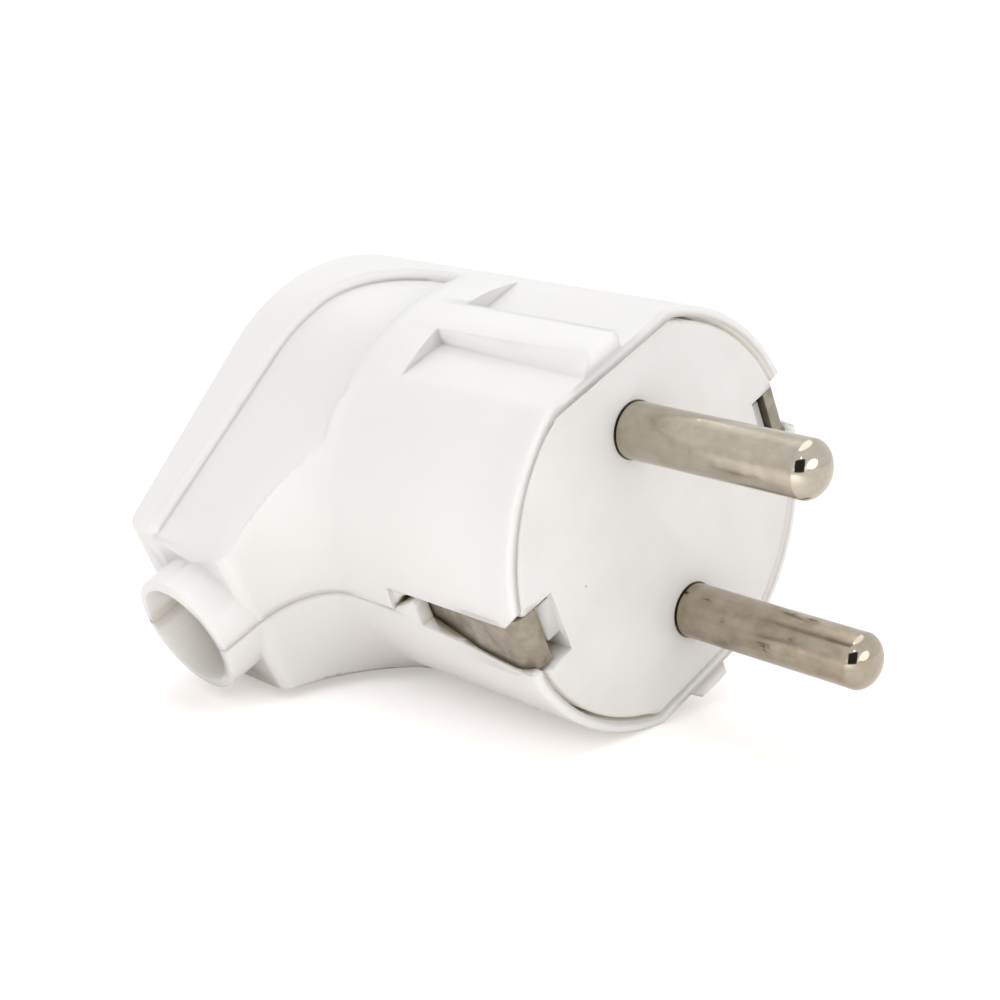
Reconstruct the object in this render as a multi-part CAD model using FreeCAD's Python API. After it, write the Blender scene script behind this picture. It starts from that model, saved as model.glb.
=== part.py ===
import FreeCAD, Part
import math
import os

from FreeCAD import Rotation, Vector

# Right-angle rewireable plug with two round pins and side earth clips, in millimetres.
# It is drawn with the pins along +X, the contact face on x = 0, the earth clips on the Y line and the
# cable leaving towards -Y, then rolled about X to lie as it rests: on the round head and the tail.

# Pins
pin_diameter = 4.8
pin_length = 19.0
pin_spacing = 19.0
pin_dome = 2.0
pin_relief = 0.2
pin_shank_step = 0.3

# Housing outline
body_radius = 18.25
body_depth = 41.0
tail_reach = 25.2
tail_half_width = 8.4
tail_depth = 14.2
flare_radius = 6.0
barrel_step = 0.05
wall = 2.2
body_round = 1.2
mouth_round = 0.35

# Cable neck
neck_length = 3.4
neck_bore_radius = 4.9
neck_wall = 1.0
neck_setback = 0.15
neck_round = 0.3

# Parting line between the two half shells
seam_width = 0.24
seam_depth = 0.35

# Grip recess on each side of the tail
grip_depth = 1.0
grip_rim_head = 6.5
grip_rim_tail = 4.0
grip_corner_radius = 8.8
grip_side = 6.6
grip_front_lead = 3.2
grip_front_radius = 1.6
grip_bevel = 0.6

# Guide flats on each side of the head, with a ridge left standing between them
guide_floor = 16.6
guide_length = 17.3
ridge_high_side = 1.4
ridge_top_back = 2.4
ridge_foot_back = 2.5
ridge_top_front = 1.8
ridge_foot_front = 3.3

# Contact carrier
face_inset = 1.35
face_flat = 15.4
face_thickness = 3.5
face_round = 0.45
mouth_gap = 0.35
flat_gap = 0.12
waist_inset = 1.0
flange_gap = 0.45
flange_flat = 14.6
flange_thickness = 1.6
rib_thickness = 1.6
post_radius = 4.6
notch_depth = 3.4
notch_half_width = 2.95
notch_block_depth = 1.4
notch_block_setback = 0.7
notch_block_low = 1.2
notch_block_high = 2.2

# Pin terminals
block_length = 9.0
block_width = 7.0
block_height = 7.6
wire_hole_radius = 1.7
stop_rib_thickness = 1.6
stop_rib_width = 7.0
stop_rib_cover = 1.0

# Earth strap and its terminal
strap_thickness = 0.8
strap_width = 5.3
strap_back = 18.5
strap_shoulder_inset = 2.95
strap_bow_inset = 0.9
strap_bow_start = 6.0
strap_tip_inset = 0.7
strap_tip_length = 1.95
strap_bend_radius = 1.5
slot_half_width = 2.4
slot_length = 15.5
slot_lead = 1.2
lower_slot_length = 12.3
lower_slot_back = 0.6
lower_slot_knee = 1.0
lower_slot_knee_back = 7.6
lower_slot_front = 2.4
tongue_depth = 0.4
eye_middle = 14.2
eye_top = 1.65
eye_foot = 0.95
eye_low_end = 0.4
eye_high_end = 2.1
nut_width = 6.0
nut_thickness = 2.4
washer_radius = 3.4
washer_thickness = 1.0

# Screws
earth_screw_radius = 1.75
earth_screw_length = 5.8
earth_head_radius = 3.1
terminal_screw_radius = 1.5
terminal_screw_length = 4.2
terminal_head_radius = 2.4
housing_screw_radius = 1.6
housing_screw_length = 19.0
housing_head_radius = 2.9
clamp_screw_radius = 1.3
clamp_screw_length = 9.0
clamp_head_radius = 2.3
head_height_share = 0.7
slot_width = 0.8

# Housing screw boss and its threaded insert
boss_radius = 4.4
boss_x = 29.6
screw_seat = 11.0
insert_radius = 2.5
insert_length = 8.0

# Cord clamp
clamp_x = 30.0
clamp_y = 10.0
clamp_spacing = 12.0
clamp_width = 5.0
clamp_thickness = 2.6
clamp_post_radius = 2.5
clamp_seat = 2.4
clamp_groove_radius = 4.4

# Fits
slide_clearance = 0.15
hole_clearance = 0.1
press_clearance = 0.03
far = 60.0

# Derived places
pin_radius = pin_diameter / 2
pin_offset = pin_spacing / 2
barrel_radius = body_radius - barrel_step
face_radius = body_radius - face_inset
flange_radius = body_radius - wall - flange_gap
waist_radius = flange_radius - waist_inset
tail_corner = math.hypot(tail_reach, tail_half_width)
roll = math.asin(body_radius / tail_corner) - math.atan2(tail_half_width, tail_reach)
back_x = -body_depth
tail_front_x = back_x + tail_depth
grip_front_x = tail_front_x + grip_front_lead
neck_radius = neck_bore_radius + neck_wall
neck_x = tail_front_x - neck_setback - neck_radius
neck_end_y = -tail_reach - neck_length
rib_x = -face_thickness - rib_thickness
flange_x = rib_x - slide_clearance
flange_back_x = flange_x - flange_thickness
block_back_x = flange_back_x - block_length
strap_bow = body_radius - strap_bow_inset
strap_shoulder = body_radius - strap_shoulder_inset
strap_tip_reach = strap_bow - strap_tip_length
strap_x = -strap_back
strap_front_x = strap_x + strap_thickness / 2
strap_rear_x = strap_x - strap_thickness / 2
mouth_radius = face_radius + mouth_gap
mouth_flat = face_flat + flat_gap
notch_foot = face_radius - notch_depth
pin_shank_radius = pin_radius - pin_shank_step
screw_tip = housing_screw_length - screw_seat
clamp_top = clamp_seat + clamp_thickness
clamp_screw_tip = clamp_top - clamp_screw_length
clamp_screw_places = (-clamp_x - clamp_spacing / 2, -clamp_x + clamp_spacing / 2)


def box(low_x, high_x, low_y, high_y, low_z, high_z):
    corner = Vector(low_x, low_y, low_z)
    return Part.makeBox(high_x - low_x, high_y - low_y, high_z - low_z, corner)


def rod(radius, start, end):
    run = end - start
    return Part.makeCylinder(radius, run.Length, start, run)


def rod_x(radius, low_x, high_x, z=0):
    return rod(radius, Vector(low_x, 0, z), Vector(high_x, 0, z))


def rod_z(radius, x, y, low_z, high_z):
    return rod(radius, Vector(x, y, low_z), Vector(x, y, high_z))


def place(shape, origin, direction):
    placed = shape.copy()
    placed.Placement = FreeCAD.Placement(origin, Rotation(Vector(0, 0, 1), direction))
    return placed


def mirror_y(shape):
    return shape.mirror(Vector(0, 0, 0), Vector(0, 1, 0))


def mirror_z(shape):
    return shape.mirror(Vector(0, 0, 0), Vector(0, 0, 1))


def polygon(points):
    return Part.Face(Part.makePolygon(points + points[:1]))


def one_solid(shape):
    return shape.removeSplitter().Solids[0]


def round_edges(shape, radius, chosen):
    edges = [edge for edge in shape.Edges if chosen(edge)]
    return shape.makeFillet(radius, edges)


def lies_on(edge, axis, value):
    box_low = getattr(edge.BoundBox, axis + "Min")
    box_high = getattr(edge.BoundBox, axis + "Max")
    return abs(box_low - value) < 1e-4 and abs(box_high - value) < 1e-4


def middle(edge):
    return edge.valueAt((edge.FirstParameter + edge.LastParameter) / 2)


def flattened(edge):
    point = middle(edge)
    return Vector(point.x, point.y, 0)


def touches(shape, point):
    return shape.distToShape(Part.Vertex(point))[0] < 1e-3


def is_flare_crease(edge):
    in_flare = edge.BoundBox.XMax < tail_front_x + flare_radius + 1e-3
    return in_flare and isinstance(edge.Curve, Part.BSplineCurve)


def is_body_edge(edge):
    on_back = lies_on(edge, "X", back_x)
    on_end = lies_on(edge, "Y", -tail_reach)
    on_front = lies_on(edge, "X", tail_front_x)
    return on_back or on_end or on_front or is_flare_crease(edge)


def teardrop(inset, reach):
    """Outline of head and tail seen along the pins: a circle and the two lines that touch it."""
    radius = body_radius - inset
    half_width = (radius - reach * math.sin(roll)) / math.cos(roll)
    touch_y = -radius * math.sin(roll)
    touch_z = radius * math.cos(roll)
    end_low = Vector(0, -reach, -half_width)
    end_high = Vector(0, -reach, half_width)
    touch_high = Vector(0, touch_y, touch_z)
    touch_low = Vector(0, touch_y, -touch_z)
    edges = [
        Part.makeLine(end_low, end_high),
        Part.makeLine(end_high, touch_high),
        Part.Arc(touch_high, Vector(0, radius, 0), touch_low).toShape(),
        Part.makeLine(touch_low, end_low),
    ]
    return Part.Face(Part.Wire(edges))


def teardrop_prism(inset, reach, low_x, high_x):
    outline = teardrop(inset, reach)
    outline.translate(Vector(low_x, 0, 0))
    return outline.extrude(Vector(high_x - low_x, 0, 0))


def flare(inset, low_x, high_x):
    """Turned form that narrows the tail into the head, inset evenly for the cavity."""
    centre_x = tail_front_x + flare_radius
    centre_r = barrel_radius + flare_radius
    radius = flare_radius + inset
    front_x = tail_front_x - inset
    middle = Vector(centre_x - radius * math.sqrt(0.5), 0, centre_r - radius * math.sqrt(0.5))
    arc_top = Vector(front_x, 0, centre_r)
    arc_foot = Vector(centre_x, 0, centre_r - radius)
    corners = [
        arc_foot,
        Vector(high_x, 0, centre_r - radius),
        Vector(high_x, 0, 0),
        Vector(low_x, 0, 0),
        Vector(low_x, 0, far),
        Vector(front_x, 0, far),
        arc_top,
    ]
    edges = [Part.makeLine(start, end) for start, end in zip(corners, corners[1:])]
    edges.append(Part.Arc(arc_top, middle, arc_foot).toShape())
    return Part.Face(Part.Wire(edges)).revolve(Vector(0, 0, 0), Vector(1, 0, 0), 360)


def body_form(inset, low_x, high_x):
    return teardrop_prism(inset, tail_reach - inset, low_x, high_x).common(flare(inset, low_x, high_x))


def grip_outline():
    """Edge of the grip recess seen along Z: it leaves a raised rim along the back."""
    rim_head_x = back_x + grip_rim_head
    low_y = -tail_reach - wall / 2
    back_shift = grip_corner_radius * (1 - math.sqrt(0.5))
    front_shift = grip_front_radius * (1 - math.sqrt(0.5))
    tail_back = Vector(back_x + grip_rim_tail, low_y, 0)
    back_start = Vector(rim_head_x, grip_side - grip_corner_radius, 0)
    back_middle = Vector(rim_head_x + back_shift, grip_side - back_shift, 0)
    back_end = Vector(rim_head_x + grip_corner_radius, grip_side, 0)
    front_start = Vector(grip_front_x - grip_front_radius, grip_side, 0)
    front_middle = Vector(grip_front_x - front_shift, grip_side - front_shift, 0)
    front_end = Vector(grip_front_x, grip_side - grip_front_radius, 0)
    tail_front = Vector(grip_front_x, low_y, 0)
    return Part.Wire([
        Part.makeLine(tail_back, back_start),
        Part.Arc(back_start, back_middle, back_end).toShape(),
        Part.makeLine(back_end, front_start),
        Part.Arc(front_start, front_middle, front_end).toShape(),
        Part.makeLine(front_end, tail_front),
        Part.makeLine(tail_front, tail_back),
    ])


def cut_grips(body):
    """Recess both sides of the tail to an even depth, and bevel the edge that is left standing."""
    outline = grip_outline()
    long_reach = tail_reach + wall
    column = Part.Face(outline).extrude(Vector(0, 0, far))
    cutter = column.cut(teardrop_prism(grip_depth, long_reach, back_x - wall, 0))
    body = one_solid(body.cut(cutter).cut(mirror_z(cutter)))
    skin = teardrop_prism(0, long_reach, back_x - wall, wall).Shells[0]

    def stands(edge):
        return touches(skin, middle(edge)) and touches(outline, flattened(edge))

    return body.makeChamfer(grip_bevel, [edge for edge in body.Edges if stands(edge)])


def guide_cutter():
    """Flats on both sides of a ridge whose near side leans out towards the contact face."""
    top_z = body_radius + wall
    flat = box(-guide_length, wall, -body_radius, body_radius, guide_floor, top_z)

    def section(x, top_y, foot_y):
        return Part.makePolygon([
            Vector(x, -foot_y, guide_floor),
            Vector(x, -top_y, body_radius),
            Vector(x, ridge_high_side, body_radius),
            Vector(x, ridge_high_side, guide_floor),
            Vector(x, -foot_y, guide_floor),
        ])

    back = section(-guide_length, ridge_top_back, ridge_foot_back)
    front = section(0, ridge_top_front, ridge_foot_front)
    return flat.cut(Part.makeLoft([back, front], True, True))


def rounded_path(points, radius):
    """Wire through the points, with a tangent arc at each inner corner."""
    edges = []
    start = points[0]
    for before, corner, after in zip(points, points[1:], points[2:]):
        arrive = (corner - before).normalize()
        leave = (after - corner).normalize()
        turn = arrive.getAngle(leave)
        trim = radius * math.tan(turn / 2)
        arc_start = corner - arrive * trim
        arc_end = corner + leave * trim
        inward = (leave - arrive).normalize()
        middle = corner + inward * (radius / math.cos(turn / 2) - radius)
        edges.append(Part.makeLine(start, arc_start))
        edges.append(Part.Arc(arc_start, middle, arc_end).toShape())
        start = arc_end
    edges.append(Part.makeLine(start, points[-1]))
    return Part.Wire(edges)


def strap_band(clearance):
    """The earth strap's bent strip; a clearance makes the room that it needs."""
    tip_x = -strap_tip_inset
    tip_y = strap_tip_reach - clearance
    half = [
        Vector(tip_x, tip_y, 0),
        Vector(tip_x, strap_bow, 0),
        Vector(-strap_bow_start, strap_bow, 0),
        Vector(strap_x, strap_shoulder, 0),
    ]
    points = half + [Vector(point.x, -point.y, 0) for point in reversed(half)]
    path = rounded_path(points, strap_bend_radius)
    depth = strap_thickness / 2 + clearance
    width = strap_width / 2 + clearance
    profile = Part.makePolygon([
        Vector(tip_x - depth, tip_y, -width),
        Vector(tip_x + depth, tip_y, -width),
        Vector(tip_x + depth, tip_y, width),
        Vector(tip_x - depth, tip_y, width),
        Vector(tip_x - depth, tip_y, -width),
    ])
    return path.makePipeShell([profile], True, False)


def screw(radius, length, head_radius):
    """Slotted pan-head screw: its seat at the origin, the shank along +Z."""
    head_height = head_radius * head_height_share
    shank = Part.makeCylinder(radius, length)
    point_edges = [edge for edge in shank.Edges if lies_on(edge, "Z", length)]
    shank = shank.makeChamfer(radius / 3, point_edges)
    head = Part.makeCylinder(head_radius, head_height, Vector(0, 0, -head_height))
    head = round_edges(head, head_height / 2, lambda edge: lies_on(edge, "Z", -head_height))
    slot = box(-head_radius, head_radius, -slot_width, 0, -head_height, -head_height / 2)
    slot.translate(Vector(0, slot_width / 2, 0))
    return one_solid(shank.fuse(head).cut(slot))


def make_neck():
    neck = rod(neck_radius, Vector(neck_x, wall - tail_reach, 0), Vector(neck_x, neck_end_y, 0))
    return round_edges(neck, neck_round, lambda edge: lies_on(edge, "Y", neck_end_y))


def make_cavity():
    """Room inside both half shells, flattened in the head where the guide grooves run outside."""
    cavity = body_form(wall, back_x + wall, rib_x)
    flat = flange_flat + hole_clearance
    head_room = box(back_x, 0, -tail_reach, body_radius, -flat, flat)
    tail_room = box(back_x, -guide_length - wall, -tail_reach, body_radius, -body_radius, body_radius)
    return cavity.common(head_room.fuse(tail_room))


def make_mouth():
    mouth = rod_x(mouth_radius, -face_thickness, wall)
    return mouth.common(box(-face_thickness, wall, -far, far, -mouth_flat, mouth_flat))


def make_seam():
    """Fine groove round the outside where the two half shells meet."""
    seam = box(back_x, 0, neck_end_y, body_radius, -seam_width / 2, seam_width / 2)
    seam = seam.cut(body_form(seam_depth, back_x + seam_depth, wall))
    core_end = Vector(neck_x, wall - tail_reach, 0)
    return seam.cut(rod(neck_radius - seam_depth, Vector(neck_x, neck_end_y, 0), core_end))


def make_housing():
    """Both half shells in one, before they are parted."""
    outer = one_solid(body_form(0, back_x, 0))
    outer = round_edges(outer, body_round, is_body_edge)
    outer = round_edges(outer, mouth_round, lambda edge: lies_on(edge, "X", 0))
    shell = cut_grips(outer).fuse(make_neck())
    waist_hole = rod_x(waist_radius + hole_clearance, rib_x, -face_thickness)
    bore_end = Vector(neck_x, wall - tail_reach, 0)
    bore = rod(neck_bore_radius, Vector(neck_x, neck_end_y - wall, 0), bore_end)
    for cutter in (make_cavity(), waist_hole, make_mouth(), bore):
        shell = shell.cut(cutter)
    boss = rod_z(boss_radius, -boss_x, 0, -body_radius, body_radius)
    stop_low = pin_offset + block_height / 2 - stop_rib_cover
    stop_half = stop_rib_width / 2
    stop = box(block_back_x - stop_rib_thickness, block_back_x, -stop_half, stop_half, stop_low, far)
    inner = body_form(wall / 2, back_x + wall / 2, 0)
    for rib in (boss, stop, mirror_z(stop)):
        shell = shell.fuse(rib.common(inner))
    guide = guide_cutter()
    for cutter in (guide, mirror_z(guide), make_seam(), strap_band(slide_clearance)):
        shell = shell.cut(cutter)
    return shell


def slot_end(low_end, bulge, high_end):
    """Curved edge at the back of a clip slot, from the parting line up to the slot."""
    return Part.Arc(
        Vector(-slot_length, 0, low_end),
        Vector(-eye_middle, 0, bulge),
        Vector(-lower_slot_length, 0, high_end),
    ).toShape()


def outlined(points, edge):
    """Face in the XZ plane closed by a polyline and one curved edge."""
    lines = [Part.makeLine(start, end) for start, end in zip(points, points[1:])]
    return Part.Face(Part.Wire(lines + [edge])).extrude(Vector(0, far, 0))


def make_upper_shell(housing):
    half = housing.copy().common(box(-far, far, -far, far, 0, far))
    lead = polygon([
        Vector(-slot_lead, 0, slot_half_width),
        Vector(wall, 0, slot_half_width + slot_lead + wall),
        Vector(wall, 0, slot_half_width),
    ])
    slot = outlined([
        Vector(-lower_slot_length, 0, eye_high_end),
        Vector(-lower_slot_length, 0, slot_half_width),
        Vector(wall, 0, slot_half_width),
        Vector(wall, 0, -wall),
        Vector(-slot_length, 0, -wall),
        Vector(-slot_length, 0, eye_low_end),
    ], slot_end(eye_low_end, eye_top, eye_high_end))
    slot = slot.common(box(-far, far, notch_foot, far, -far, far))
    step = box(-slot_length, -lower_slot_length, notch_foot, far, 0, slot_half_width)
    step = step.cut(rod_x(barrel_radius - tongue_depth, -slot_length, 0))
    for cutter in (slot, step, lead.extrude(Vector(0, far, 0))):
        half = half.cut(cutter).cut(mirror_y(cutter))
    pocket = rod_z(insert_radius + press_clearance, -boss_x, 0, 0, insert_length)
    tip_room = rod_z(housing_screw_radius + hole_clearance, -boss_x, 0, 0, screw_tip + wall)
    return one_solid(half.cut(pocket).cut(tip_room))


def make_lower_shell(housing):
    half = housing.copy().common(box(-far, far, -far, far, -far, 0))
    slot = polygon([
        Vector(wall, 0, 0),
        Vector(wall, 0, -lower_slot_front),
        Vector(0, 0, -lower_slot_front),
        Vector(-lower_slot_knee_back, 0, -lower_slot_knee),
        Vector(-lower_slot_length, 0, -lower_slot_back),
        Vector(-lower_slot_length, 0, 0),
    ])
    slot = slot.extrude(Vector(0, far, 0))
    slot = slot.common(box(-far, far, notch_foot, far, -far, far))
    half = half.cut(slot).cut(mirror_y(slot))
    tab_low = eye_low_end - hole_clearance
    tab_high = eye_high_end - hole_clearance
    tab = outlined([
        Vector(-lower_slot_length, 0, tab_high),
        Vector(-lower_slot_length, 0, -lower_slot_back),
        Vector(-slot_length, 0, -lower_slot_back),
        Vector(-slot_length, 0, tab_low),
    ], slot_end(tab_low, eye_foot, tab_high))
    tab.translate(Vector(hole_clearance, 0, 0))
    ring = rod_x(barrel_radius, back_x, 0).cut(rod_x(barrel_radius - wall, back_x, 0))
    tab = tab.common(ring).cut(strap_band(slide_clearance))
    half = half.fuse(tab).fuse(mirror_y(tab))
    inner = body_form(wall / 2, back_x + wall / 2, 0)
    for post_x in clamp_screw_places:
        post = rod_z(clamp_post_radius, post_x, -clamp_y, -body_radius, clamp_seat)
        hole_radius = clamp_screw_radius + press_clearance
        half = half.fuse(post.common(inner))
        half = half.cut(rod_z(hole_radius, post_x, -clamp_y, clamp_screw_tip - wall, clamp_seat))
    shank_room = rod_z(housing_screw_radius + hole_clearance, -boss_x, 0, -far, 0)
    head_room = rod_z(housing_head_radius + slide_clearance, -boss_x, 0, -far, -screw_seat)
    return one_solid(half.cut(shank_room).cut(head_room))


def make_carrier():
    disc = rod_x(face_radius, -face_thickness, 0)
    disc = disc.common(box(-face_thickness, 0, -far, far, -face_flat, face_flat))
    disc = round_edges(disc, face_round, lambda edge: lies_on(edge, "X", 0))
    waist = rod_x(waist_radius, flange_x, -face_thickness)
    flange = rod_x(flange_radius, flange_back_x, flange_x)
    flange = flange.common(box(flange_back_x, 0, -far, far, -flange_flat, flange_flat))
    post = rod_x(post_radius, strap_front_x, flange_back_x)
    carrier = disc.fuse([waist, flange, post])
    notch = box(flange_back_x, 0, notch_foot, far, -notch_half_width, notch_half_width)
    block = box(flange_back_x, -notch_block_setback, notch_foot, notch_foot + notch_block_depth,
                -notch_block_low, notch_block_high)
    notch = notch.cut(block)
    carrier = carrier.cut(notch).cut(mirror_y(notch)).cut(strap_band(slide_clearance))
    for side in (-1, 1):
        shank = rod_x(pin_shank_radius + hole_clearance / 2, flange_back_x, 0, side * pin_offset)
        relief = rod_x(pin_radius + hole_clearance, -pin_relief, 0, side * pin_offset)
        carrier = carrier.cut(shank).cut(relief)
    nut_half = nut_width / 2
    pocket_end = strap_front_x + nut_thickness
    pocket = box(strap_front_x, pocket_end, -nut_half, nut_half, -nut_half, nut_half)
    screw_room = rod_x(earth_screw_radius + hole_clearance, strap_front_x, flange_back_x)
    return one_solid(carrier.cut(pocket).cut(screw_room))


def make_pin(axis):
    """Turned pin with a low domed tip and, behind the carrier, a terminal block with a cross hole."""
    shoulder_x = pin_length - pin_dome
    dome_radius = (pin_radius ** 2 + pin_dome ** 2) / (2 * pin_dome)
    ball = Part.makeSphere(dome_radius, Vector(pin_length - dome_radius, 0, 0))
    tip = rod_x(pin_radius, shoulder_x, pin_length).common(ball)
    stem = rod_x(pin_radius, pin_relief, shoulder_x)
    shank = rod_x(pin_shank_radius, flange_back_x, pin_relief)
    half_width = block_width / 2
    half_height = block_height / 2
    block = box(block_back_x, flange_back_x, -half_width, half_width, -half_height, half_height)
    wire_x = (block_back_x + flange_back_x) / 2
    wire_hole = rod(wire_hole_radius, Vector(wire_x, -block_width, 0), Vector(wire_x, block_width, 0))
    screw_hole = rod_x(terminal_screw_radius + press_clearance, block_back_x, wire_x)
    pin = tip.fuse([stem, shank, block]).cut(wire_hole).cut(screw_hole)
    pin.translate(Vector(0, 0, axis))
    return pin.Solids[0]


def make_terminal_screws():
    driven = screw(terminal_screw_radius, terminal_screw_length, terminal_head_radius)
    seats = [Vector(block_back_x, 0, side * pin_offset) for side in (-1, 1)]
    screws = [place(driven, seat, Vector(1, 0, 0)) for seat in seats]
    return Part.makeCompound(screws)


def make_earth_strap():
    hole = rod_x(earth_screw_radius + hole_clearance, strap_x - wall, strap_x + wall)
    return one_solid(strap_band(0).cut(hole))


def make_earth_nut():
    half = nut_width / 2 - press_clearance
    nut = box(strap_front_x, strap_front_x + nut_thickness - press_clearance, -half, half, -half, half)
    hole = rod_x(earth_screw_radius + press_clearance, strap_front_x - wall, 0)
    return nut.cut(hole).Solids[0]


def make_earth_washer():
    washer = rod_x(washer_radius, strap_rear_x - washer_thickness, strap_rear_x)
    hole = rod_x(earth_screw_radius + hole_clearance, strap_rear_x - wall, strap_rear_x)
    return washer.cut(hole).Solids[0]


def make_earth_screw():
    driven = screw(earth_screw_radius, earth_screw_length, earth_head_radius)
    return place(driven, Vector(strap_rear_x - washer_thickness, 0, 0), Vector(1, 0, 0))


def make_cord_clamp():
    half_length = clamp_spacing / 2 + clamp_post_radius
    half_width = clamp_width / 2
    bar = box(-half_length, half_length, -half_width, half_width, clamp_seat, clamp_top)
    bar.translate(Vector(-clamp_x, -clamp_y, 0))
    corners = [edge for edge in bar.Edges if edge.BoundBox.ZLength > clamp_thickness / 2]
    bar = bar.makeFillet(clamp_width / 3, corners)
    groove_z = clamp_seat + clamp_thickness / 3 - clamp_groove_radius
    groove_end = Vector(-clamp_x, 0, groove_z)
    bar = bar.cut(rod(clamp_groove_radius, Vector(-clamp_x, -tail_reach, groove_z), groove_end))
    for hole_x in clamp_screw_places:
        bar = bar.cut(rod_z(clamp_screw_radius + hole_clearance, hole_x, -clamp_y, 0, far))
    return bar.Solids[0]


def make_clamp_screws():
    driven = screw(clamp_screw_radius, clamp_screw_length, clamp_head_radius)
    seats = [Vector(x, -clamp_y, clamp_top) for x in clamp_screw_places]
    screws = [place(driven, seat, Vector(0, 0, -1)) for seat in seats]
    return Part.makeCompound(screws)


def make_housing_screw():
    driven = screw(housing_screw_radius, housing_screw_length, housing_head_radius)
    return place(driven, Vector(-boss_x, 0, -screw_seat), Vector(0, 0, 1))


def make_housing_insert():
    sleeve = rod_z(insert_radius, -boss_x, 0, 0, insert_length)
    thread = rod_z(housing_screw_radius + press_clearance, -boss_x, 0, 0, insert_length)
    return sleeve.cut(thread).Solids[0]


housing = make_housing()
nodes = {
    "upper_shell": make_upper_shell(housing),
    "lower_shell": make_lower_shell(housing),
    "contact_carrier": make_carrier(),
    "upper_pin": make_pin(pin_offset),
    "lower_pin": make_pin(-pin_offset),
    "pin_terminal_screws": make_terminal_screws(),
    "earth_strap": make_earth_strap(),
    "earth_nut": make_earth_nut(),
    "earth_washer": make_earth_washer(),
    "earth_screw": make_earth_screw(),
    "cord_clamp": make_cord_clamp(),
    "cord_clamp_screws": make_clamp_screws(),
    "housing_screw": make_housing_screw(),
    "housing_insert": make_housing_insert(),
}

os.makedirs("parts", exist_ok=True)
for name, shape in nodes.items():
    laid = shape.copy()
    laid.rotate(Vector(0, 0, 0), Vector(1, 0, 0), math.degrees(roll))
    laid.exportStep("parts/" + name + ".step")
    print(name, len(laid.Solids), "solid, valid", laid.isValid(), "volume", round(laid.Volume, 2))
print("roll", round(math.degrees(roll), 3))
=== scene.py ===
import math

import bmesh
import bpy
from mathutils import Matrix, Vector


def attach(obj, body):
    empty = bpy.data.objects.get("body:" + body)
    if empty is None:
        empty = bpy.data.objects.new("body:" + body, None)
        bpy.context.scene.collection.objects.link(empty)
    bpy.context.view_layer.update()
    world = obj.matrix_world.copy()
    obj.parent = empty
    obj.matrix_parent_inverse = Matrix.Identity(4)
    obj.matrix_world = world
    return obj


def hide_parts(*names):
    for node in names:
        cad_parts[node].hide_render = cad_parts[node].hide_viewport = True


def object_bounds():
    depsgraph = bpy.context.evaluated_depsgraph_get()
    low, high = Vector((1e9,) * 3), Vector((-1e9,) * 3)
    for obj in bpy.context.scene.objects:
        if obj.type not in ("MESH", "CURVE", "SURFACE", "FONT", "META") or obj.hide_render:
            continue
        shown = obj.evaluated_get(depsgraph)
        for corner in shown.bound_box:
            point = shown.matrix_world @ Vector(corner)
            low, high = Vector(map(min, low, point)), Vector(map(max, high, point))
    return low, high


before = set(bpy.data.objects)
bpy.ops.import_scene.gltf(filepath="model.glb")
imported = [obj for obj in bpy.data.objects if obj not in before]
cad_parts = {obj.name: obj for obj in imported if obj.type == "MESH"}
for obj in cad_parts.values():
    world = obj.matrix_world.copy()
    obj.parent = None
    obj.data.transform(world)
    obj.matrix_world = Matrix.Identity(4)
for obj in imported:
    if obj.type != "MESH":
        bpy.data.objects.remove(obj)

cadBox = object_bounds()
scene = bpy.context.scene
scene.view_settings.view_transform = "Standard"
print("frame:", len(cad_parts), "CAD nodes")


# camera, at the place the photograph was taken from
shot = {
    "place": (0.09903, -0.11416, 0.04397),
    "ahead": (-0.6948, 0.6671, -0.2689),
    "right": (0.6926, 0.7213, 0.0),
    "lens": 67.66,
    "sensor": 36.0,
    "near": 0.005,
}


def makeCamera():
    data = bpy.data.cameras.new("camera")
    data.lens = shot["lens"]
    data.sensor_width = shot["sensor"]
    data.clip_start = shot["near"]
    camera = bpy.data.objects.new("camera", data)
    right = Vector(shot["right"]).normalized()
    ahead = Vector(shot["ahead"]).normalized()
    up = right.cross(ahead)
    turn = Matrix((right, up, -ahead)).transposed().to_4x4()
    camera.matrix_world = Matrix.Translation(Vector(shot["place"])) @ turn
    scene.collection.objects.link(camera)
    scene.camera = camera


makeCamera()
print("camera set")


def middleOf(node):
    corners = [Vector(corner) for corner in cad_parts[node].bound_box]
    return sum(corners, Vector()) / 8


# the plug lies rolled about X: the line between the pins says by how much
pinLine = middleOf("upper_pin") - middleOf("lower_pin")
roll = math.atan2(-pinLine.y, pinLine.z)
print("roll:", round(math.degrees(roll), 2))


def laid(x, y, z):
    return Matrix.Rotation(roll, 3, "X") @ Vector((x, y, z))


# nodes in one line each: a kind, its plain values, and what it is linked from
def addNode(tree, kind, values=None, links=None, **settings):
    node = tree.nodes.new(kind)
    for name, value in settings.items():
        setattr(node, name, value)
    for key, value in (values or {}).items():
        node.inputs[key].default_value = value
    for key, source in (links or {}).items():
        tree.links.new(source, node.inputs[key])
    return node


def newGroup(name, inputs, outputs):
    tree = bpy.data.node_groups.new(name, "ShaderNodeTree")
    for title, kind, value in inputs:
        socket = tree.interface.new_socket(title, in_out="INPUT", socket_type="NodeSocket" + kind)
        if value is not None:
            socket.default_value = value
    for title, kind in outputs:
        tree.interface.new_socket(title, in_out="OUTPUT", socket_type="NodeSocket" + kind)
    return tree, tree.nodes.new("NodeGroupInput"), tree.nodes.new("NodeGroupOutput")


def mathNode(tree, operation, first, second=0.0):
    node = tree.nodes.new("ShaderNodeMath")
    node.operation = operation
    for index, value in enumerate((first, second)):
        if isinstance(value, (int, float)):
            node.inputs[index].default_value = value
        else:
            tree.links.new(value, node.inputs[index])
    return node.outputs[0]


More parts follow.
